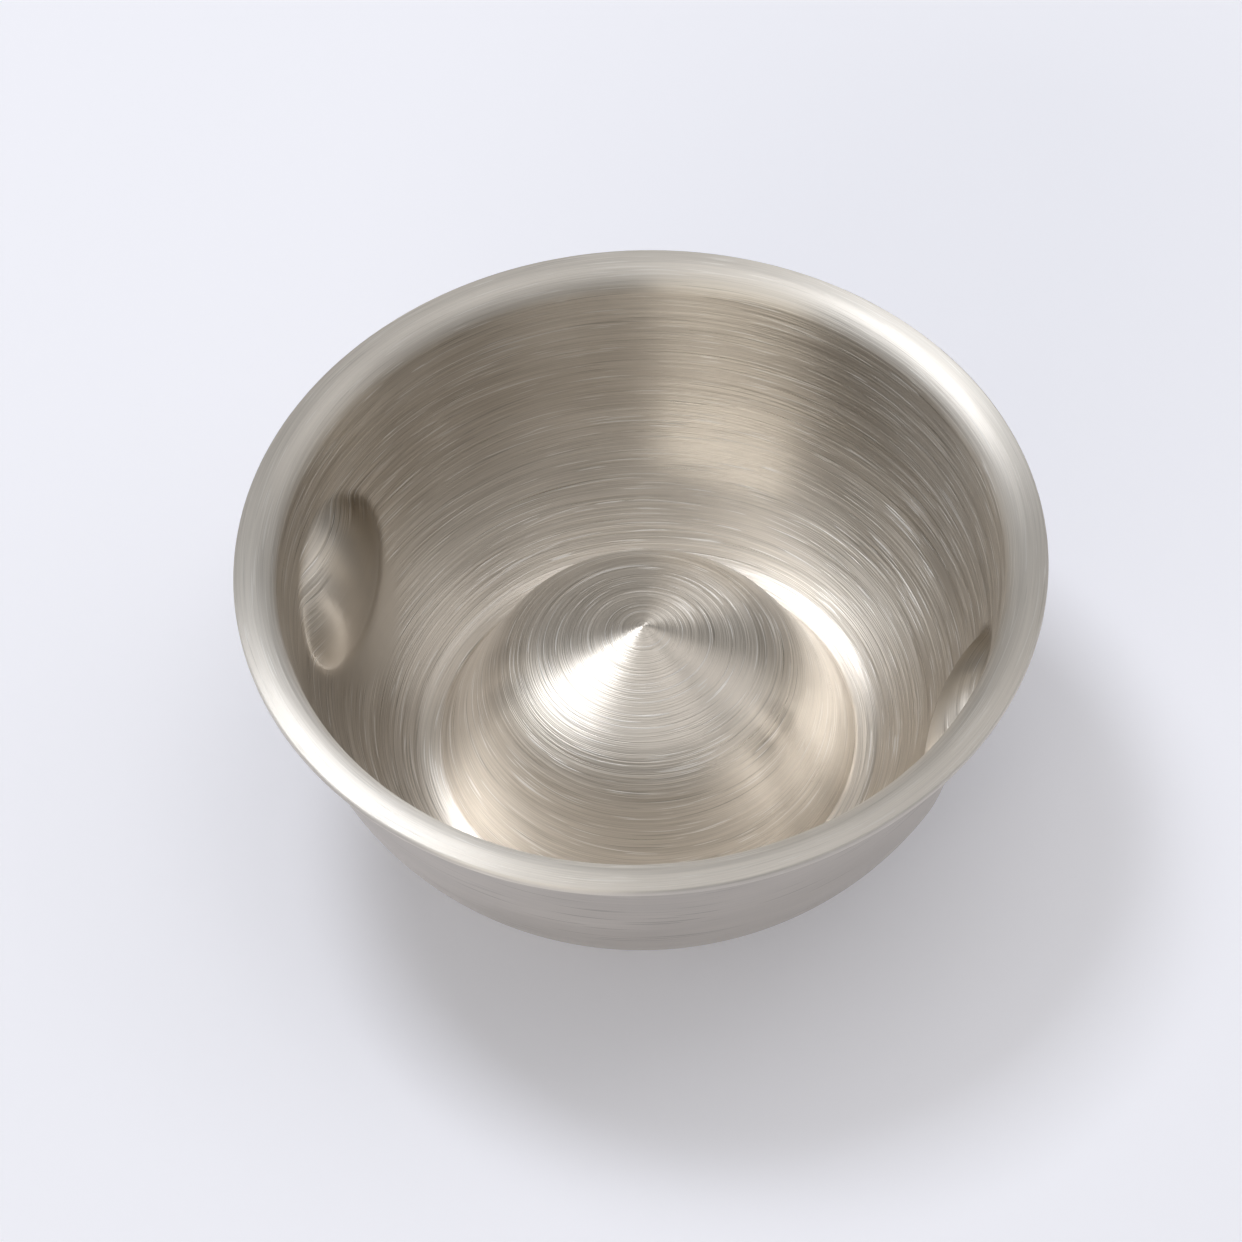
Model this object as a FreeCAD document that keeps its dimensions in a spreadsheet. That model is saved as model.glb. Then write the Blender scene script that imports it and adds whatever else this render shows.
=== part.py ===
# A shaving bowl pressed from one sheet of stainless steel: a blunt cone stands up in the middle,
# a narrow foot runs round the cone, the side sweeps up to a flared lip, and two finger dimples
# are pressed into the side.
# Origin: centre of the foot's underside. +Z is up, and the dimples are on +X and -X. Millimetres.
import FreeCAD, Part
import os
import Sketcher
from math import cos, radians, sin, tan

os.makedirs("parts", exist_ok=True)
doc = FreeCAD.newDocument("ShavingBowl")

# Driving dimensions, all of them to the sheet's upper (inner) face unless the note says otherwise.
SIZES = [
    ("rim_diameter", 100.0, "outside of the lip"),
    ("bowl_height", 38.8, "foot underside to the crest of the lip"),
    ("sheet_thickness", 1.15, "the sheet"),
    ("cone_height", 24.2, "foot underside to the cone's point"),
    ("nose_radius", 3.0, "rounding of the cone's point"),
    ("flank_angle", 20.2, "slope of the cone's upper flank"),
    ("shoulder_radius", 13.3, "turn from the flank to the cone's steep side"),
    ("steep_angle", 63.0, "slope of the cone's steep side"),
    ("crease_radius", 0.7, "bend between the cone and the foot"),
    ("foot_diameter", 54.2, "where the foot's flat ring starts"),
    ("foot_flat", 1.2, "width of the foot's flat ring"),
    ("heel_radius", 3.0, "bend from the foot into the side"),
    ("heel_angle", 37.0, "slope of the side where it leaves the heel"),
    ("wall_angle", 81.0, "slope of the straight upper side"),
    ("wall_length", 13.7, "length of the straight upper side"),
    ("lip_radius", 3.3, "bend from the side over to the lip"),
    ("lip_reach", 2.0, "crest of the lip to its outer edge"),
    ("lip_droop", 6.0, "slope of the lip down to its edge"),
    ("lip_edge_round", 0.35, "rounding of the lip's cut edge"),
    ("dimple_width", 22.5, "punch across, where it meets the side"),
    ("dimple_tall", 21.4, "punch from top to bottom, where it would meet an upright side"),
    ("dimple_depth", 3.7, "dimple's middle below the side"),
    ("dimple_level", 15.9, "centre of the dimple above the foot's underside"),
    ("punch_depth", 8.0, "half the punch's size along its stroke"),
    ("dimple_blend", 0.8, "bend round the dimple, on the inside"),
]
# Worked out from the sizes: how far the curved side reaches out and up, and the slope of its chord.
DERIVED = [
    (
        "side_run",
        "=(rim_diameter - foot_diameter) / 2 - lip_reach - foot_flat - heel_radius * sin(heel_angle * 1deg)"
        " - lip_radius * sin(wall_angle * 1deg) - wall_length * cos(wall_angle * 1deg)",
        "heel to straight upper side, outwards",
    ),
    (
        "side_rise",
        "=bowl_height - sheet_thickness - heel_radius * (1 - cos(heel_angle * 1deg))"
        " - lip_radius * (1 - cos(wall_angle * 1deg)) - wall_length * sin(wall_angle * 1deg)",
        "heel to straight upper side, upwards",
    ),
    (
        "side_slope",
        "=atan(side_rise / side_run) / 1deg",
        "slope of the line from one to the other",
    ),
]
sheet = doc.addObject("Spreadsheet::Sheet", "Sizes")
for row, (alias, value, note) in enumerate(SIZES + DERIVED, start=1):
    sheet.set(f"A{row}", alias)
    sheet.set(f"B{row}", str(value))
    sheet.set(f"C{row}", note)
    sheet.setAlias(f"B{row}", alias)
doc.recompute()

# The numbers by which a sketch knows its origin, its upright axis and the points of a line or arc.
ORIGIN = -1
UPRIGHT = -2
START, END, CENTRE = 1, 2, 3
FULL_TURN = 360
QUARTER_TURN = 90
ON_RIM = 0.001


def size(alias):
    return float(sheet.get(alias))


def heading(slope):
    # A step of one along a slope given in degrees.
    return cos(radians(slope)), sin(radians(slope))


def turn(radius, before, after):
    # Run and rise of an arc that turns from one slope to another.
    side = 1 if after > before else -1
    run = side * radius * (sin(radians(after)) - sin(radians(before)))
    rise = side * radius * (cos(radians(before)) - cos(radians(after)))
    return run, rise


def solvePair(a, b, target):
    # How much of step a and how much of step b add up to the target.
    span = a[0] * b[1] - b[0] * a[1]
    return (
        (target[0] * b[1] - b[0] * target[1]) / span,
        (a[0] * target[1] - target[0] * a[1]) / span,
    )


def coneLengths(flank, steep):
    # The cone's two straight lengths, from what its bends leave of its height and width.
    bends = [
        turn(size("nose_radius"), 0, flank),
        turn(size("shoulder_radius"), flank, steep),
        turn(size("crease_radius"), steep, 0),
    ]
    run = size("foot_diameter") / 2 - sum(bend[0] for bend in bends)
    rise = size("sheet_thickness") - size("cone_height") - sum(bend[1] for bend in bends)
    return solvePair(heading(flank), heading(steep), (run, rise))


def sideRadii(heel, wall):
    # The curved side is two arcs that meet where it runs as steep as its chord.
    # So it reaches from any foot to any rim, and its two radii come out alike in a bowl of this form.
    slope = size("side_slope")
    return solvePair(turn(1, heel, slope), turn(1, slope, wall), (size("side_run"), size("side_rise")))


def sheetCourse():
    # The upper face from the cone's point to the lip: name, kind, length or radius, slope at its end.
    flank, steep = -size("flank_angle"), -size("steep_angle")
    heel, wall = size("heel_angle"), size("wall_angle")
    flank_length, steep_length = coneLengths(flank, steep)
    belly_radius, side_radius = sideRadii(heel, wall)
    return [
        ("nose", "arc", size("nose_radius"), flank),
        ("flank", "line", flank_length, flank),
        ("shoulder", "arc", size("shoulder_radius"), steep),
        ("steep", "line", steep_length, steep),
        ("crease", "arc", size("crease_radius"), 0),
        ("foot", "line", size("foot_flat"), 0),
        ("heel", "arc", size("heel_radius"), heel),
        ("belly", "arc", belly_radius, size("side_slope")),
        ("side", "arc", side_radius, wall),
        ("wall", "line", size("wall_length"), wall),
        ("lip", "arc", size("lip_radius"), -size("lip_droop")),
    ]


def flat(point):
    return FreeCAD.Vector(*point, 0)


class Section:
    # The closed section of everything above one face of the sheet, up to a level clear of the lip.
    # Below says that it is the lower face, one thickness under the upper one.
    def __init__(self, name, below):
        self.sketch = doc.addObject("Sketcher::SketchObject", name)
        # It stands in the plane x = 0, so that the turned faces' seams stay clear of the dimples.
        self.sketch.Placement.Rotation = FreeCAD.Rotation(QUARTER_TURN, 0, QUARTER_TURN)
        self.below = below
        self.offset = size("sheet_thickness") if below else 0.0
        self.parts = {}
        self.ends = {}
        self.drawFace()
        self.joinParts()
        self.setBends()
        self.setSlopes()
        self.setPlaces()
        doc.recompute()
        if not self.sketch.FullyConstrained:
            raise RuntimeError(f"{name} isn't fully constrained")

    def draw(self, label, shape, ends=(START, END)):
        self.parts[label] = self.sketch.addGeometry(shape, False)
        self.ends[label] = ends

    def drawFace(self):
        x, y, slope = 0.0, size("cone_height") - self.offset, 0.0
        tip = (x, y)
        for label, kind, amount, after in sheetCourse():
            if kind == "line":
                last = (x + amount * heading(after)[0], y + amount * heading(after)[1])
                self.draw(label, Part.LineSegment(flat((x, y)), flat(last)))
            else:
                # An arc runs anticlockwise, so a bend that turns clockwise starts at its end point.
                side = 1 if after > slope else -1
                radius = amount + side * self.offset
                half_run, half_rise = turn(radius, slope, (slope + after) / 2)
                run, rise = turn(radius, slope, after)
                last = (x + run, y + rise)
                points = [(x, y), (x + half_run, y + half_rise), last][::side]
                self.draw(label, Part.Arc(*map(flat, points)), (START, END)[::side])
            (x, y), slope = last, after
        # The lip runs on to its cut edge, and the section closes over the bowl and down the axis.
        rim = size("rim_diameter") / 2
        top = size("bowl_height") + size("sheet_thickness")
        edge = y + (rim - x) * tan(radians(slope))
        corners = [(x, y), (rim, edge), (rim, top), (0, top), tip]
        for label, first, last in zip(("land", "edge", "cover", "axis"), corners, corners[1:]):
            self.draw(label, Part.LineSegment(flat(first), flat(last)))

    def hold(self, kind, *values):
        return self.sketch.addConstraint(Sketcher.Constraint(kind, *values))

    def bind(self, label, expression, kind, *values):
        # The value that the constraint is made with is replaced by the expression's.
        self.sketch.renameConstraint(self.hold(kind, *values), label)
        self.sketch.setExpression("Constraints." + label, expression)

    def place(self, label, expression, direction, part, point, value):
        # Holds a point at a distance from the origin.
        self.bind(label, expression, direction, ORIGIN, START, self.parts[part], point, value)

    def joinParts(self):
        # The face runs smoothly from part to part. The lines that close the section meet at corners.
        order = list(self.parts)
        for before, after in zip(order, order[1:]):
            kind = "Coincident" if before in ("land", "edge", "cover") else "Tangent"
            out_of, into = self.ends[before][1], self.ends[after][0]
            self.hold(kind, self.parts[before], out_of, self.parts[after], into)
        nose, tip = self.parts["nose"], self.ends["nose"][0]
        self.hold("Coincident", self.parts["axis"], END, nose, tip)
        self.hold("PointOnObject", nose, CENTRE, UPRIGHT)
        self.hold("PointOnObject", nose, tip, UPRIGHT)
        self.hold("PointOnObject", self.parts["axis"], START, UPRIGHT)
        self.hold("Horizontal", self.parts["foot"])
        self.hold("Vertical", self.parts["edge"])
        self.hold("Horizontal", self.parts["cover"])

    def setBends(self):
        # On the lower face a bend is a thickness tighter over the sheet and a thickness wider under it.
        for label, side in (("nose", -1), ("shoulder", -1), ("lip", -1), ("crease", 1), ("heel", 1)):
            alias = label + "_radius"
            sign = "+" if side > 0 else "-"
            rule = f"Sizes.{alias}" + (f" {sign} Sizes.sheet_thickness" if self.below else "")
            self.bind(label + "_bend", rule, "Radius", self.parts[label], size(alias) + side * self.offset)
        heel = size("heel_angle")
        self.bind("heel_turn", "Sizes.heel_angle * 1deg", "Angle", self.parts["heel"], radians(heel))
        rule = "(Sizes.side_slope - Sizes.heel_angle) * 1deg"
        belly = radians(size("side_slope") - heel)
        self.bind("belly_turn", rule, "Angle", self.parts["belly"], belly)

    def setSlopes(self):
        slopes = [
            ("flank", -1, "flank_angle"),
            ("steep", -1, "steep_angle"),
            ("wall", 1, "wall_angle"),
            ("land", -1, "lip_droop"),
        ]
        for label, side, alias in slopes:
            slope = radians(side * size(alias))
            self.bind(label + "_slope", f"{side} * Sizes.{alias} * 1deg", "Angle", self.parts[label], slope)

    def setPlaces(self):
        foot = self.parts["foot"]
        width = size("foot_flat")
        self.bind("foot_width", "Sizes.foot_flat", "DistanceX", foot, START, foot, END, width)
        straight = size("wall_length")
        self.bind("wall_run", "Sizes.wall_length", "Distance", self.parts["wall"], straight)
        inner = size("foot_diameter") / 2
        self.place("foot_start", "Sizes.foot_diameter / 2", "DistanceX", "foot", START, inner)
        tip_rule = "Sizes.cone_height"
        if self.below:
            tip_rule += " - Sizes.sheet_thickness"
            self.hold("PointOnObject", foot, START, ORIGIN)
        else:
            rule = "Sizes.sheet_thickness"
            self.place("foot_level", rule, "DistanceY", "foot", START, size("sheet_thickness"))
        tip = size("cone_height") - self.offset
        self.place("nose_level", tip_rule, "DistanceY", "nose", self.ends["nose"][0], tip)
        rim = size("rim_diameter") / 2
        self.place("rim_reach", "Sizes.rim_diameter / 2", "DistanceX", "edge", START, rim)
        rule = "Sizes.bowl_height + Sizes.sheet_thickness"
        top = size("bowl_height") + size("sheet_thickness")
        self.place("cover_level", rule, "DistanceY", "cover", START, top)
        rule = "Sizes.rim_diameter / 2 - Sizes.lip_reach"
        self.place("crest_reach", rule, "DistanceX", "lip", CENTRE, rim - size("lip_reach"))
        rule = "Sizes.bowl_height - Sizes.lip_radius"
        level = size("bowl_height") - size("lip_radius")
        self.place("lip_centre", rule, "DistanceY", "lip", CENTRE, level)


def addTurned(name, section):
    solid = doc.addObject("Part::Revolution", name)
    solid.Source = section.sketch
    solid.Axis = (0, 0, 1)
    solid.Base = (0, 0, 0)
    solid.Angle = FULL_TURN
    solid.Solid = True
    return solid


def measureReach(turned):
    # How far out the side's outer face lies at the dimples' level goes into the sizes.
    doc.recompute()
    level = size("dimple_level")
    ray = Part.makeLine(FreeCAD.Vector(0, 0, level), FreeCAD.Vector(size("rim_diameter"), 0, level))
    row = len(SIZES) + len(DERIVED) + 1
    sheet.set(f"A{row}", "side_reach")
    sheet.set(f"B{row}", str(turned.Shape.common(ray).BoundBox.XMax))
    sheet.set(f"C{row}", "axis to the side's outer face, at the dimples' level")
    sheet.setAlias(f"B{row}", "side_reach")
    doc.recompute()


def addPunch(name, side, grown):
    # The dimple's egg-shaped punch, or the same punch grown by the sheet's thickness.
    # Its width allows for the side's roundness, so that the dimple is as wide as its size says.
    punch = doc.addObject("Part::Ellipsoid", name)
    half_width = "(Sizes.dimple_width / 2)"
    sag = f"(Sizes.side_reach - sqrt(Sizes.side_reach ^ 2 - {half_width} ^ 2))"
    bite = "(Sizes.punch_depth - Sizes.dimple_depth)"
    tall = f"Sizes.dimple_tall / 2 / sqrt(1 - ({bite} / Sizes.punch_depth) ^ 2)"
    wide = f"{half_width} / sqrt(1 - (({bite} + {sag}) / Sizes.punch_depth) ^ 2)"
    extra = " + Sizes.sheet_thickness" if grown else ""
    punch.setExpression("Radius1", tall + extra)
    punch.setExpression("Radius2", "Sizes.punch_depth" + extra)
    punch.setExpression("Radius3", wide + extra)
    # Its own seam faces away from the bowl.
    away = 0 if side > 0 else FULL_TURN / 2
    punch.Placement.Rotation = FreeCAD.Rotation(FreeCAD.Vector(0, 0, 1), away)
    punch.setExpression("Placement.Base.x", f"{side} * (Sizes.side_reach + {bite})")
    punch.setExpression("Placement.Base.z", "Sizes.dimple_level")
    punch.Angle1 = -QUARTER_TURN
    punch.Angle2 = QUARTER_TURN
    punch.Angle3 = FULL_TURN
    return punch


def addCut(name, base, tool):
    cut = doc.addObject("Part::Cut", name)
    cut.Base = base
    cut.Tool = tool
    return cut


def addRounded(name, base, radius, wanted):
    # Rounds the edges of the base shape that are wanted.
    doc.recompute()
    edges = [number for number, edge in enumerate(base.Shape.Edges, start=1) if wanted(base.Shape, edge)]
    rounded = doc.addObject("Part::Fillet", name)
    rounded.Base = base
    rounded.Edges = [(number, radius, radius) for number in edges]
    return rounded


def isDimpleEdge(shape, edge):
    # A dimple's outline lies between the punch's free-form face and a turned one.
    faces = shape.ancestorsOfType(edge, Part.Face)
    return sum(face.Surface.TypeId == "Part::GeomBSplineSurface" for face in faces) == 1


def isRimEdge(shape, edge):
    # The lip's cut edge has one ring above it and one below, both of them as wide as the rim.
    place = edge.valueAt(sum(edge.ParameterRange) / 2)
    reach = FreeCAD.Vector(place.x, place.y, 0).Length
    return edge.isClosed() and abs(reach - size("rim_diameter") / 2) < ON_RIM


def addDimpled(name, solid, grown):
    # Everything above one face of the sheet, with both dimples pressed in and blended.
    for hand, side in (("Right", 1), ("Left", -1)):
        solid = addCut(name + hand, solid, addPunch(name + hand + "Punch", side, grown))
    radius = size("dimple_blend") + (0 if grown else size("sheet_thickness"))
    return addRounded(name + "Blended", solid, radius, isDimpleEdge)


lower = addTurned("AboveLowerFace", Section("LowerFace", True))
upper = addTurned("AboveUpperFace", Section("UpperFace", False))
measureReach(lower)
outside = addDimpled("Outside", lower, False)
inside = addDimpled("Inside", upper, True)
pressed = addCut("Pressed", outside, inside)
bowl = addRounded("BowlShell", pressed, size("lip_edge_round"), isRimEdge)
bowl.Label = "bowl_shell"
doc.recompute()

for item in doc.Objects:
    if "Invalid" in item.State or "Error" in item.State:
        raise RuntimeError(f"{item.Name} failed: {item.State}")
if bowl.Shape.isNull() or not bowl.Shape.isValid() or len(bowl.Shape.Solids) != 1:
    raise RuntimeError("bowl_shell isn't one sound solid")
bowl.Shape.exportStep(os.path.join("parts", bowl.Label + ".step"))
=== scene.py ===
from math import cos, pi, radians, sin, sqrt

import bpy
from mathutils import Matrix, Vector


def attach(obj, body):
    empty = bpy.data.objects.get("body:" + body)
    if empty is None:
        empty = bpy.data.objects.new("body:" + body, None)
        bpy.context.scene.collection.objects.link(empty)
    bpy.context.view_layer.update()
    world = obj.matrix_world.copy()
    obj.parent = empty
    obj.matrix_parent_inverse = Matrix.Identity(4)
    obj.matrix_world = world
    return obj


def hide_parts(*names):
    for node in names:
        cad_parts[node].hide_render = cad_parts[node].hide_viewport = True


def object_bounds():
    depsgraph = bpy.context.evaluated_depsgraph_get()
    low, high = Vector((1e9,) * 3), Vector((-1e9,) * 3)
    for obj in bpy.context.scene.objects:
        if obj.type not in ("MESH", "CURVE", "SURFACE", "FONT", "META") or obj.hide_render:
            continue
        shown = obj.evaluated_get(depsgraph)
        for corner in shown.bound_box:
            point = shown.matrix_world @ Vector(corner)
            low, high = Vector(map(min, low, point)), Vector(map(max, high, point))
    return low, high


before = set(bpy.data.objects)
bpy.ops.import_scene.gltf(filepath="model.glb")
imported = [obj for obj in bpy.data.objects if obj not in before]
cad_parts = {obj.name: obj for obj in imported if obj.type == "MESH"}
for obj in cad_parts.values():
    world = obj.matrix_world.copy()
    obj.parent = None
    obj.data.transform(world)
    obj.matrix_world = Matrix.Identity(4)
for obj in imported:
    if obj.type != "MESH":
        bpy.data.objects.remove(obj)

cadLow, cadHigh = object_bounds()
mm = 0.001
print("frame loaded")


class Wire:
    # A socket that can be used in a Python expression. Each operator adds one Math node.
    def __init__(self, tree, socket):
        self.tree = tree
        self.socket = socket

    def math(self, operation, *others):
        values = [self, *others]
        return self.tree.add("ShaderNodeMath", {"operation": operation}, dict(enumerate(values))).out()

    def __add__(self, other):
        return self.math("ADD", other)

    def __sub__(self, other):
        return self.math("SUBTRACT", other)

    def __rsub__(self, other):
        return self.tree.value(other).math("SUBTRACT", self)

    def __mul__(self, other):
        return self.math("MULTIPLY", other)

    def __truediv__(self, other):
        return self.math("DIVIDE", other)

    def __rtruediv__(self, other):
        return self.tree.value(other).math("DIVIDE", self)

    def __pow__(self, other):
        return self.math("POWER", other)

    __radd__ = __add__
    __rmul__ = __mul__

    def ramp(self, low, high):
        # 0 up to low, 1 past high, and a smooth step between.
        inputs = {"Value": self, "From Min": low, "From Max": high, "To Min": 0.0, "To Max": 1.0}
        return self.tree.add("ShaderNodeMapRange", {"interpolation_type": "SMOOTHSTEP"}, inputs).out("Result")


class Step:
    # A node that has just been added.
    def __init__(self, tree, node):
        self.tree = tree
        self.node = node

    def out(self, name=0):
        return Wire(self.tree, self.node.outputs[name])


class Tree:
    def __init__(self, nodeTree):
        self.nodeTree = nodeTree

    def add(self, kind, settings=None, inputs=None):
        node = self.nodeTree.nodes.new(kind)
        for name, value in (settings or {}).items():
            setattr(node, name, value)
        for name, value in (inputs or {}).items():
            if isinstance(value, Wire):
                self.nodeTree.links.new(value.socket, node.inputs[name])
            else:
                node.inputs[name].default_value = value
        return Step(self, node)

    def value(self, number):
        step = self.add("ShaderNodeValue")
        step.node.outputs[0].default_value = number
        return step.out()

    def vector(self, x, y, z):
        return self.add("ShaderNodeCombineXYZ", None, {"X": x, "Y": y, "Z": z}).out()

    def apart(self, vector):
        step = self.add("ShaderNodeSeparateXYZ", None, {0: vector})
        return step.out("X"), step.out("Y"), step.out("Z")

    def mixColour(self, factor, first, second, blend="MIX"):
        # Sockets 6 and 7 are the Mix node's two colours, and 2 is its colour result.
        settings = {"data_type": "RGBA", "blend_type": blend}
        return self.add("ShaderNodeMix", settings, {0: factor, 6: first, 7: second}).out(2)


# Millimetres and degrees, to the sheet's upper face. The width over the lip and the height are the frame's.
bowlSizes = {
    "sheet": 1.15,
    "coneHeight": 24.2,
    "noseRadius": 3.0,
    "flankAngle": 20.2,
    "shoulderRadius": 13.3,
    "steepAngle": 63.0,
    "creaseRadius": 0.7,
    "footRadius": 27.1,
    "footFlat": 1.2,
    "heelRadius": 3.0,
    "heelAngle": 37.0,
    "wallAngle": 81.0,
    "lipRadius": 3.3,
    "lipReach": 2.0,
    "lipDroop": 6.0,
    "edgeRound": 0.35,
}
dimpleSizes = {
    "width": 22.5,
    "tall": 21.4,
    "depth": 3.7,
    "level": 15.9,
    "punch": 8.0,
    "blend": 1.3,
}
meshSizes = {
    "turns": 288,
    "crowding": 0.45,  # how much closer together the stops are at the dimples
    "lineStep": 0.6,
    "arcStep": 6.0,
    "leastSteps": 4,
    "edgeSteps": 4,
}
rimRadius = (cadHigh.x - cadLow.x) / 2 / mm
bowlHeight = cadHigh.z / mm


def turn(radius, before, after):
    # Run and rise of an arc that takes the sheet from one slope to another.
    side = 1 if after > before else -1
    run = side * radius * (sin(radians(after)) - sin(radians(before)))
    rise = side * radius * (cos(radians(before)) - cos(radians(after)))
    return run, rise


def solvePair(a, b, target):
    # How much of step a and how much of step b add up to the target.
    span = a[0] * b[1] - b[0] * a[1]
    return (
        (target[0] * b[1] - b[0] * target[1]) / span,
        (a[0] * target[1] - target[0] * a[1]) / span,
    )


def heading(angle):
    return cos(radians(angle)), sin(radians(angle))


def sheetCourse(s):
    # Lines and arcs of the upper face, from the cone's point to the lip: kind, size, slope at the end.
    flank, steep, wall = -s["flankAngle"], -s["steepAngle"], s["wallAngle"]
    fixed = [
        turn(s["noseRadius"], 0, flank),
        turn(s["shoulderRadius"], flank, steep),
        turn(s["creaseRadius"], steep, 0),
    ]
    run = s["footRadius"] - sum(step[0] for step in fixed)
    rise = s["sheet"] - s["coneHeight"] - sum(step[1] for step in fixed)
    flankLength, steepLength = solvePair(heading(flank), heading(steep), (run, rise))
    heelStep = turn(s["heelRadius"], 0, s["heelAngle"])
    lipStep = turn(s["lipRadius"], wall, 0)
    run = rimRadius - s["lipReach"] - s["footRadius"] - s["footFlat"] - heelStep[0] - lipStep[0]
    rise = bowlHeight - s["sheet"] - heelStep[1] - lipStep[1]
    wallRadius, wallLength = solvePair(turn(1, s["heelAngle"], wall), heading(wall), (run, rise))
    return [
        ("arc", s["noseRadius"], flank),
        ("line", flankLength, flank),
        ("arc", s["shoulderRadius"], steep),
        ("line", steepLength, steep),
        ("arc", s["creaseRadius"], 0),
        ("line", s["footFlat"], 0),
        ("arc", s["heelRadius"], s["heelAngle"]),
        ("arc", wallRadius, wall),
        ("line", wallLength, wall),
        ("arc", s["lipRadius"], -s["lipDroop"]),
    ]


def facePoints(s, offset):
    # Points of one face of the sheet, from the axis out to just short of its cut edge.
    points = [(0.0, s["coneHeight"] - offset)]
    slope = 0.0
    for kind, amount, after in sheetCourse(s):
        x, y = points[-1]
        if kind == "line":
            steps = max(1, round(amount / meshSizes["lineStep"]))
            along = heading(after)
            points += [(x + along[0] * amount * k / steps, y + along[1] * amount * k / steps)
                       for k in range(1, steps + 1)]
        else:
            radius = amount + (offset if after > slope else -offset)
            sweep = abs(after - slope)
            byAngle = sweep / meshSizes["arcStep"]
            byLength = radius * radians(sweep) / meshSizes["lineStep"]
            steps = max(meshSizes["leastSteps"], round(max(byAngle, byLength)))
            for k in range(1, steps + 1):
                run, rise = turn(radius, slope, slope + (after - slope) * k / steps)
                points.append((x + run, y + rise))
        slope = after
    x, y = points[-1]
    land = rimRadius - s["edgeRound"] - x
    drop = sin(radians(slope)) / cos(radians(slope))
    steps = max(1, round(land / meshSizes["lineStep"]))
    points += [(x + land * k / steps, y + land * drop * k / steps) for k in range(1, steps + 1)]
    return points


def sectionPoints(s):
    # The whole section: up over the upper face, round the cut edge, and back under the lower face.
    upper = facePoints(s, 0.0)
    lower = facePoints(s, s["sheet"])
    corners = []
    steps = meshSizes["edgeSteps"]
    for (x, y), start in ((upper[-1], 90), (lower[-1], 0)):
        centre = y - s["edgeRound"] if start else y + s["edgeRound"]
        for k in range(1, steps + 1):
            angle = radians(start - 90 * k / steps)
            corners.append((x + s["edgeRound"] * cos(angle), centre + s["edgeRound"] * sin(angle)))
    return upper, corners, lower[::-1][1:]


def sectionObject(s):
    # A line of points with two numbers on each: how far along the sheet it is, and which face it is on.
    upper, corners, lower = sectionPoints(s)
    points = upper + corners + lower
    mesh = bpy.data.meshes.new("bowlSection")
    edges = [(k, k + 1) for k in range(len(points) - 1)]
    mesh.from_pydata([(x * mm, 0, y * mm) for x, y in points], edges, [])
    along = mesh.attributes.new("along", "FLOAT", "POINT")
    under = mesh.attributes.new("under", "FLOAT", "POINT")
    distance = 0.0
    for k, point in enumerate(points):
        if k:
            before = points[k - 1]
            distance += sqrt((point[0] - before[0]) ** 2 + (point[1] - before[1]) ** 2)
        along.data[k].value = distance
        edge = (k - len(upper) + 1) / (len(corners) + 1)
        under.data[k].value = min(max(edge, 0.0), 1.0)
    section = bpy.data.objects.new("bowlSection", mesh)
    bpy.context.scene.collection.objects.link(section)
    return section, len(points)


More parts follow.
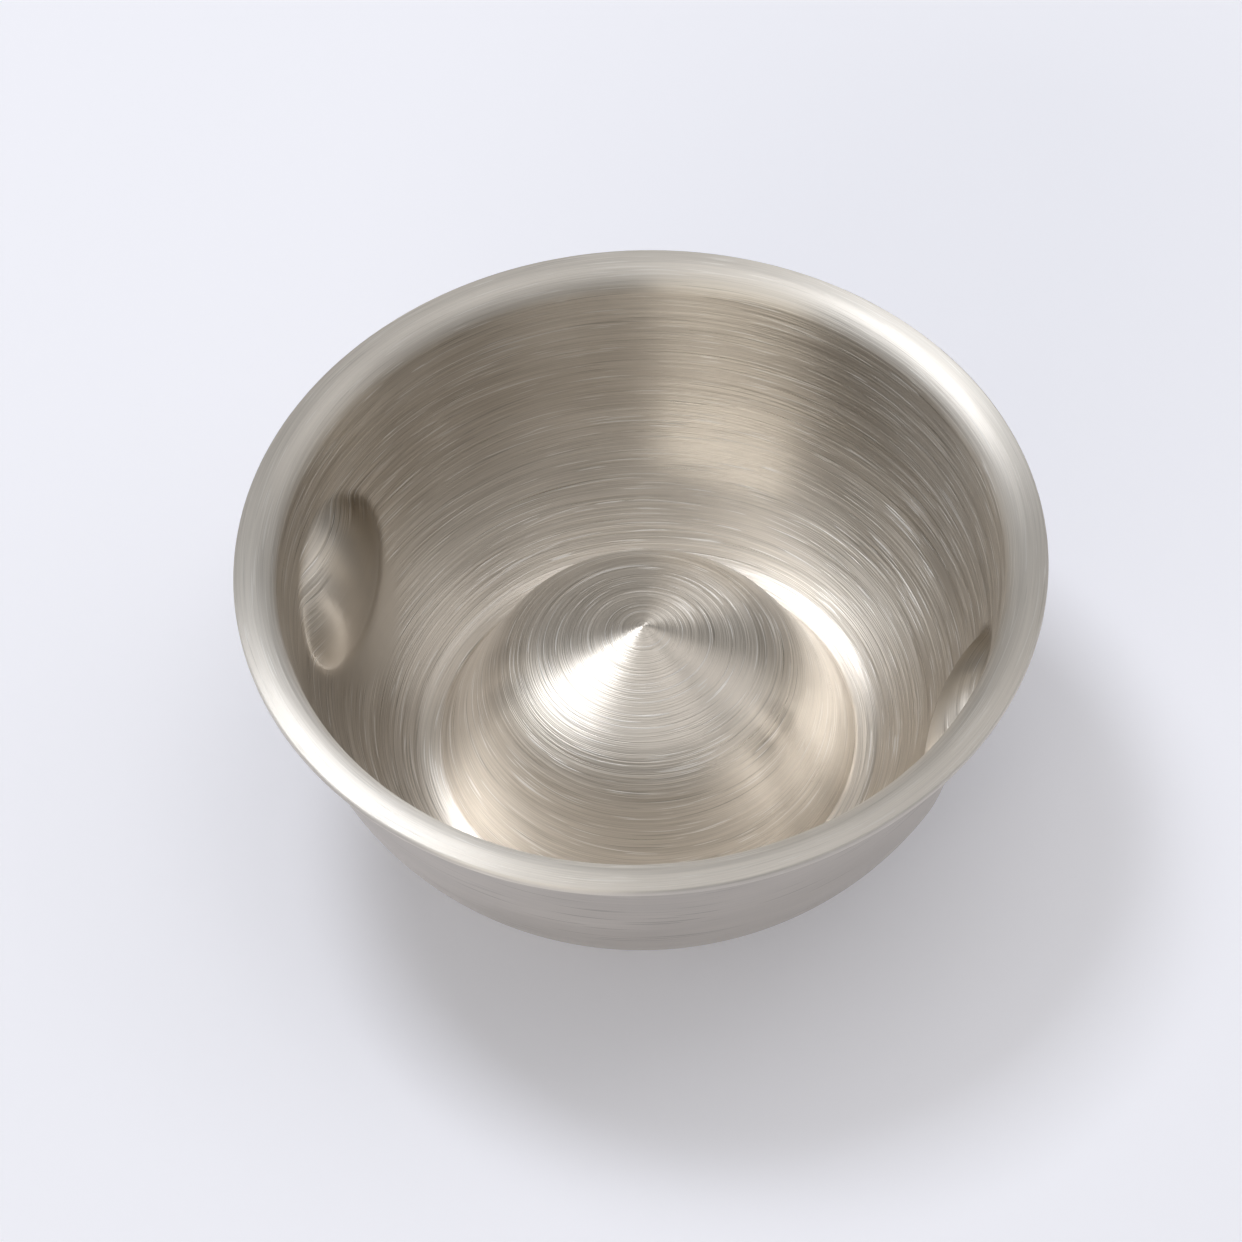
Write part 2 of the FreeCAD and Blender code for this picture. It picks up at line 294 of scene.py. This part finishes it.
def turningTree():
    # Turns the section into the bowl and presses the two dimples.
    group = bpy.data.node_groups.new("turnedBowl", "GeometryNodeTree")
    group.interface.new_socket("Geometry", in_out="OUTPUT", socket_type="NodeSocketGeometry")
    group.interface.new_socket("Section", in_out="INPUT", socket_type="NodeSocketGeometry")
    for name in ("Turns", "Points"):
        group.interface.new_socket(name, in_out="INPUT", socket_type="NodeSocketInt")
    for name in ("Crowding", "Sheet", "Width", "Tall", "Depth", "Level", "Reach", "Punch", "Blend"):
        group.interface.new_socket(name, in_out="INPUT", socket_type="NodeSocketFloat")
    for name in ("Inner Steel", "Outer Steel"):
        group.interface.new_socket(name, in_out="INPUT", socket_type="NodeSocketMaterial")
    tree = Tree(group)
    given = tree.add("NodeGroupInput")

    def size(name):
        return given.out(name)

    # A grid with one column for each point of the section and one row for each stop of the turn.
    rows = size("Turns") + 1.0
    gridInputs = {"Size X": 1.0, "Size Y": 1.0, "Vertices X": size("Points"), "Vertices Y": rows}
    grid = tree.add("GeometryNodeMeshGrid", None, gridInputs).out("Mesh")
    index = tree.add("GeometryNodeInputIndex").out()
    column = ((index + 0.5) / rows).math("FLOOR")
    row = index - column * rows

    def fromSection(dataType, value):
        inputs = {"Geometry": size("Section"), "Value": value, "Index": column}
        return tree.add("GeometryNodeSampleIndex", {"data_type": dataType}, inputs).out("Value")

    def named(name):
        return tree.add("GeometryNodeInputNamedAttribute", {"data_type": "FLOAT"}, {"Name": name}).out()

    place = fromSection("FLOAT_VECTOR", tree.add("GeometryNodeInputPosition").out())
    along = fromSection("FLOAT", named("along"))
    under = fromSection("FLOAT", named("under"))
    radius, _, height = tree.apart(place)

    # The stops crowd together at the dimples.
    share = row / size("Turns")
    angle = share * (2 * pi) - (share * (4 * pi)).math("SINE") * size("Crowding") / 2
    across = radius * angle.math("COSINE")
    aside = radius * angle.math("SINE")

    # The punch is an ellipsoid, larger by the sheet's thickness on the inside.
    grown = size("Sheet") * (1 - under)
    bite = size("Punch") - size("Depth")
    reach, half = size("Reach"), size("Width") / 2
    sag = reach - (reach * reach - half * half).math("SQRT")
    tall = size("Tall") / 2 / (1 - (bite / size("Punch")) ** 2.0).math("SQRT") + grown
    wide = half / (1 - ((bite + sag) / size("Punch")) ** 2.0).math("SQRT") + grown
    deep = size("Punch") + grown
    footprint = 1 - (aside / wide) * (aside / wide) - ((height - size("Level")) / tall).math("POWER", 2.0)
    face = reach + bite - deep * footprint.math("MAXIMUM", 0.0).math("SQRT")
    away = across.math("ABSOLUTE")
    pressed = away.math("SMOOTH_MIN", face, size("Blend"))
    # The cone stands in the punch's path too, so only the side is pressed.
    onSide = away.math("GREATER_THAN", size("Reach") * 0.7)
    near = onSide * footprint.math("GREATER_THAN", 0.0)
    pressed = away + (pressed - away) * near
    across = across.math("SIGN") * pressed

    moved = tree.add("GeometryNodeSetPosition", None,
                     {"Geometry": grid, "Position": tree.vector(across, aside, height)}).out()
    kept = moved
    for name, value in (("along", along), ("under", under)):
        kept = tree.add("GeometryNodeStoreNamedAttribute", {"data_type": "FLOAT", "domain": "POINT"},
                        {"Geometry": kept, "Name": name, "Value": value}).out()
    joined = tree.add("GeometryNodeMergeByDistance", None, {"Geometry": kept, "Distance": 0.00001}).out()
    smooth = tree.add("GeometryNodeSetShadeSmooth", None, {0: joined}).out()
    whole = tree.add("GeometryNodeRealizeInstances", None, {0: smooth}).out()
    inner = tree.add("GeometryNodeSetMaterial", None, {"Geometry": whole, "Material": size("Inner Steel")})
    isOuter = named("under").math("GREATER_THAN", 0.5)
    outer = tree.add("GeometryNodeSetMaterial", None,
                     {"Geometry": inner.out(), "Selection": isOuter, "Material": size("Outer Steel")})
    tree.add("NodeGroupOutput", None, {0: outer.out()})
    return group


def plainMesh(source, name):
    # The evaluated result as a mesh of its own, with no modifier.
    graph = bpy.context.evaluated_depsgraph_get()
    mesh = bpy.data.meshes.new_from_object(source.evaluated_get(graph), preserve_all_data_layers=True,
                                           depsgraph=graph)
    mesh.name = name
    piece = bpy.data.objects.new(name, mesh)
    bpy.context.scene.collection.objects.link(piece)
    bpy.data.objects.remove(source)
    return piece


def makeBowl(innerSteel, outerSteel):
    section, pointCount = sectionObject(bowlSizes)
    group = turningTree()
    modifier = section.modifiers.new("turning", "NODES")
    modifier.node_group = group
    # How far out the side's outer face is at the dimples' level.
    lower = facePoints(bowlSizes, bowlSizes["sheet"])
    outer = [point for point in lower if point[0] > bowlSizes["footRadius"]]
    reach = min(outer, key=lambda point: abs(point[1] - dimpleSizes["level"]))[0]
    values = {
        "Turns": meshSizes["turns"], "Points": pointCount, "Crowding": meshSizes["crowding"],
        "Sheet": bowlSizes["sheet"] * mm, "Width": dimpleSizes["width"] * mm,
        "Tall": dimpleSizes["tall"] * mm, "Depth": dimpleSizes["depth"] * mm,
        "Level": dimpleSizes["level"] * mm, "Reach": reach * mm,
        "Punch": dimpleSizes["punch"] * mm, "Blend": dimpleSizes["blend"] * mm,
        "Inner Steel": innerSteel, "Outer Steel": outerSteel,
    }
    for item in group.interface.items_tree:
        if item.in_out == "INPUT" and item.name in values:
            modifier[item.identifier] = values[item.name]
    bowl = plainMesh(section, "bowl")
    bowl.data.calc_loop_triangles()
    print("bowl", len(bowl.data.vertices), "points", len(bowl.data.loop_triangles), "triangles")
    return bowl


# Layers of brushing: the gap between rings and the length of a stroke, in millimetres, and a seed.
brushing = {
    "wander": (12.0, 30.0, 21.0),
    "stray": (16.0, 26.0, 27.0),
    "fine": (0.13, 12.0, 1.0),
    "middle": (0.36, 20.0, 3.0),
    "coarse": (1.3, 26.0, 5.0),
    "broad": (8.0, 25.0, 7.0),
    "bright": (0.2, 7.0, 11.0),
    "long": (0.28, 18.0, 13.0),
    "dark": (0.24, 12.0, 17.0),
}
# Where the lip's finish starts and is full, by height, and where the dimples' does, by distance out.
lipBand = (35.5 * mm, 38.0 * mm)
sideBand = (30 * mm, 34 * mm)
# Near-white colour painted along the scratches: a painted glint.
scratchGlintColour = (0.95, 0.93, 0.90, 1)


def steel(name, colour, lipColour, look):
    material = bpy.data.materials.new(name)
    material.use_nodes = True
    material.node_tree.nodes.clear()
    tree = Tree(material.node_tree)
    x, y, z = tree.apart(tree.add("ShaderNodeTexCoord").out("Object"))
    along = tree.add("ShaderNodeAttribute", {"attribute_name": "along"}).out("Fac")

    def rings(layer, shift=0.0, detail=0.0):
        # Noise drawn out round the bowl: fine across the rings, slow along them.
        pitch, length, seed = brushing[layer]
        vector = tree.vector((along + shift) / pitch, x / (length * mm), y / (length * mm))
        inputs = {"Vector": vector, "W": seed, "Scale": 1.0, "Detail": detail, "Roughness": 0.6}
        return tree.add("ShaderNodeTexNoise", {"noise_dimensions": "4D"}, inputs).out(0) - 0.5

    # The rings wander a little, as a hand-held pad leaves them.
    wander = rings("wander") * look["wander"]
    stray = rings("stray") * look["wander"] * 2
    fine = rings("fine", wander)
    middle = rings("middle", wander)
    coarse = rings("coarse", wander)
    broad = rings("broad", 0.0, 2.0)
    bright = rings("bright", wander).ramp(0.19, 0.25)
    long = rings("long", stray).ramp(0.21, 0.26)
    dark = rings("dark", wander).ramp(0.2, 0.27)
    # The lip is smoother than the bowl inside it, and so are the pressed dimples.
    lip = z.ramp(*lipBand)
    aside = y / (dimpleSizes["width"] / 2 * mm)
    above = (z - dimpleSizes["level"] * mm) / (dimpleSizes["tall"] / 2 * mm)
    pressed = (aside * aside + above * above).ramp(1.15, 0.75) * x.math("ABSOLUTE").ramp(*sideBand)
    plain = 1 - (lip * look["lipSmooth"]).math("MAXIMUM", pressed * 0.92)
    # Scratch marks: real marks, made rougher and raised in the bump, and also painted near-white below as a
    # painted glint.
    scratchAndGlint = bright.math("MAXIMUM", long * 0.8) * plain
    grain = (fine + middle * 0.6 + coarse * 0.25) * plain
    shade = (1 + look["contrast"] * grain + 0.2 * broad) * (1 - 0.25 * dark * plain)
    # The lip and the bowl below it get different tints; inside, the bowl is painted warmer and darker than
    # the lip, a painted warm reflection and shade.
    tint = tree.mixColour(lip, (*colour, 1), (*lipColour, 1))
    base = tree.mixColour(1.0, tint, tree.vector(shade, shade, shade), "MULTIPLY")
    # Painted glint: the scratches are mixed towards near-white in the base colour.
    base = tree.mixColour(scratchAndGlint * look["scratchGlintStrength"], base, scratchGlintColour)
    rough = look["roughness"] + 0.2 * grain + 0.08 * scratchAndGlint + look["lipRough"] * lip
    height = (fine + middle * 0.7 + coarse * 0.3 - dark * 0.25) * plain + scratchAndGlint * 0.35
    bump = tree.add("ShaderNodeBump", None,
                    {"Strength": look["bump"], "Distance": 0.1 * mm, "Height": height}).out()
    tangent = tree.add("ShaderNodeTangent", {"direction_type": "RADIAL", "axis": "Z"}).out()
    shader = tree.add("ShaderNodeBsdfPrincipled", None, {
        "Base Color": base, "Metallic": 1.0, "Roughness": rough, "Normal": bump,
        "Anisotropic": look["anisotropy"], "Anisotropic Rotation": 0.25, "Tangent": tangent,
    })
    tree.add("ShaderNodeOutputMaterial", None, {"Surface": shader.out()})
    return material


insideLook = {
    "roughness": 0.35,
    "contrast": 0.45,
    "scratchGlintStrength": 0.7,
    "bump": 0.48,
    "anisotropy": 0.94,
    "wander": 1.2,
    "lipSmooth": 0.5,
    "lipRough": 0.1,
}
outsideLook = {
    "roughness": 0.46,
    "contrast": 0.2,
    "scratchGlintStrength": 0.08,
    "bump": 0.12,
    "anisotropy": 0.4,
    "wander": 1.2,
    "lipSmooth": 0.0,
    "lipRough": 0.0,
}
# Inside, the bowl is warmer and darker than its lip: painted warm reflection and shade, with the lip painted
# lighter.
innerSteel = steel("brushedSteel", (0.665, 0.615, 0.55), (0.71, 0.67, 0.615), insideLook)
outerSteel = steel("satinSteel", (0.57, 0.535, 0.495), (0.59, 0.555, 0.51), outsideLook)
bowl = makeBowl(innerSteel, outerSteel)
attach(bowl, "root")
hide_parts("bowl_shell")
print("bowl made")


# Degrees, metres, and millimetres for the lens and the rim's level. Turned is how far the camera stands
# round the bowl from the front.
cameraSizes = {
    "turned": 18.5,
    "height": 51.86,
    "distance": 0.6,
    "lens": 141.7,
    "roll": -2.7,
    "left": 0.223,
    "up": 0.756,
    "rimLevel": 38.2,
}
stageSizes = {
    "floorReach": 3.0,
    "floorColour": (0.88, 0.885, 0.95, 1),
    "floorRoughness": 0.9,
    "floorSpecular": 0.1,
    "glowColour": (0.94, 0.95, 1.0, 1),
    "glow": 0.125,
    "skyColour": (0.98, 0.975, 0.96, 1),
    "sky": 0.30,
}
rimCentre = Vector((0, 0, cameraSizes["rimLevel"] * mm))


def fromCamera(turned, height):
    # Direction out from the bowl, turned anticlockwise from the camera's right.
    angle = radians(cameraSizes["turned"] + turned)
    flat = cos(radians(height))
    return Vector((cos(angle) * flat, sin(angle) * flat, sin(radians(height))))


def aim(direction):
    # Faces whatever stands in this direction back at the bowl.
    return (-direction).to_track_quat("-Z", "Y")


def makeCamera():
    data = bpy.data.cameras.new("camera")
    data.lens = cameraSizes["lens"]
    data.sensor_width = 36.0
    camera = bpy.data.objects.new("camera", data)
    bpy.context.scene.collection.objects.link(camera)
    back = fromCamera(-90, cameraSizes["height"])
    camera.rotation_mode = "QUATERNION"
    camera.location = rimCentre + back * cameraSizes["distance"]
    look = aim(back).to_matrix()
    # The camera is rolled, and looks a little below and to the left of the rim's centre.
    look = look @ Matrix.Rotation(radians(cameraSizes["roll"]), 3, "Z")
    look = look @ Matrix.Rotation(radians(-cameraSizes["up"]), 3, "X")
    look = look @ Matrix.Rotation(radians(cameraSizes["left"]), 3, "Y")
    camera.rotation_quaternion = look.to_quaternion()
    data.clip_start = 0.01
    data.clip_end = 20
    bpy.context.scene.camera = camera


def makeFloor():
    mesh = bpy.data.meshes.new("floor")
    far = stageSizes["floorReach"]
    mesh.from_pydata([(-far, -far, 0), (far, -far, 0), (far, far, 0), (-far, far, 0)], [], [(0, 1, 2, 3)])
    floor = bpy.data.objects.new("floor", mesh)
    bpy.context.scene.collection.objects.link(floor)
    material = bpy.data.materials.new("paleFloor")
    material.use_nodes = True
    shader = material.node_tree.nodes["Principled BSDF"]
    shader.inputs["Base Color"].default_value = stageSizes["floorColour"]
    shader.inputs["Roughness"].default_value = stageSizes["floorRoughness"]
    shader.inputs["Specular IOR Level"].default_value = stageSizes["floorSpecular"]
    # A faint painted glow, standing in for fill light, lightens the floor and its cast shadow.
    shader.inputs["Emission Color"].default_value = stageSizes["glowColour"]
    shader.inputs["Emission Strength"].default_value = stageSizes["glow"]
    mesh.materials.append(material)


def makeLight(name, turned, height, distance, width, tall, power, colour):
    data = bpy.data.lights.new(name, "AREA")
    data.shape = "RECTANGLE"
    data.size = width
    data.size_y = tall
    data.energy = power
    data.color = colour
    light = bpy.data.objects.new(name, data)
    bpy.context.scene.collection.objects.link(light)
    direction = fromCamera(turned, height)
    light.location = rimCentre + direction * distance
    light.rotation_mode = "QUATERNION"
    light.rotation_quaternion = aim(direction)


def makeSky():
    world = bpy.data.worlds.new("studio")
    bpy.context.scene.world = world
    world.use_nodes = True
    background = world.node_tree.nodes["Background"]
    background.inputs["Color"].default_value = stageSizes["skyColour"]
    background.inputs["Strength"].default_value = stageSizes["sky"]


makeCamera()
makeFloor()
makeSky()
makeLight("key", turned=130, height=61.5, distance=1.2, width=0.36, tall=0.4, power=5.1,
          colour=(0.92, 0.95, 1.0))
makeLight("ceiling", turned=39, height=88, distance=1.3, width=0.9, tall=0.9, power=1.8,
          colour=(1.0, 0.99, 0.99))
makeLight("panel", turned=39, height=66, distance=1.3, width=0.9, tall=0.9, power=1.8,
          colour=(1.0, 0.98, 0.98))
makeLight("side", turned=12, height=40, distance=1.3, width=0.9, tall=0.6, power=0.9,
          colour=(1.0, 0.98, 0.97))
makeLight("front", turned=241, height=20, distance=1.3, width=0.95, tall=0.32, power=3.6,
          colour=(1.0, 0.95, 0.86))
bpy.context.scene.view_settings.view_transform = "Standard"
print("stage made")
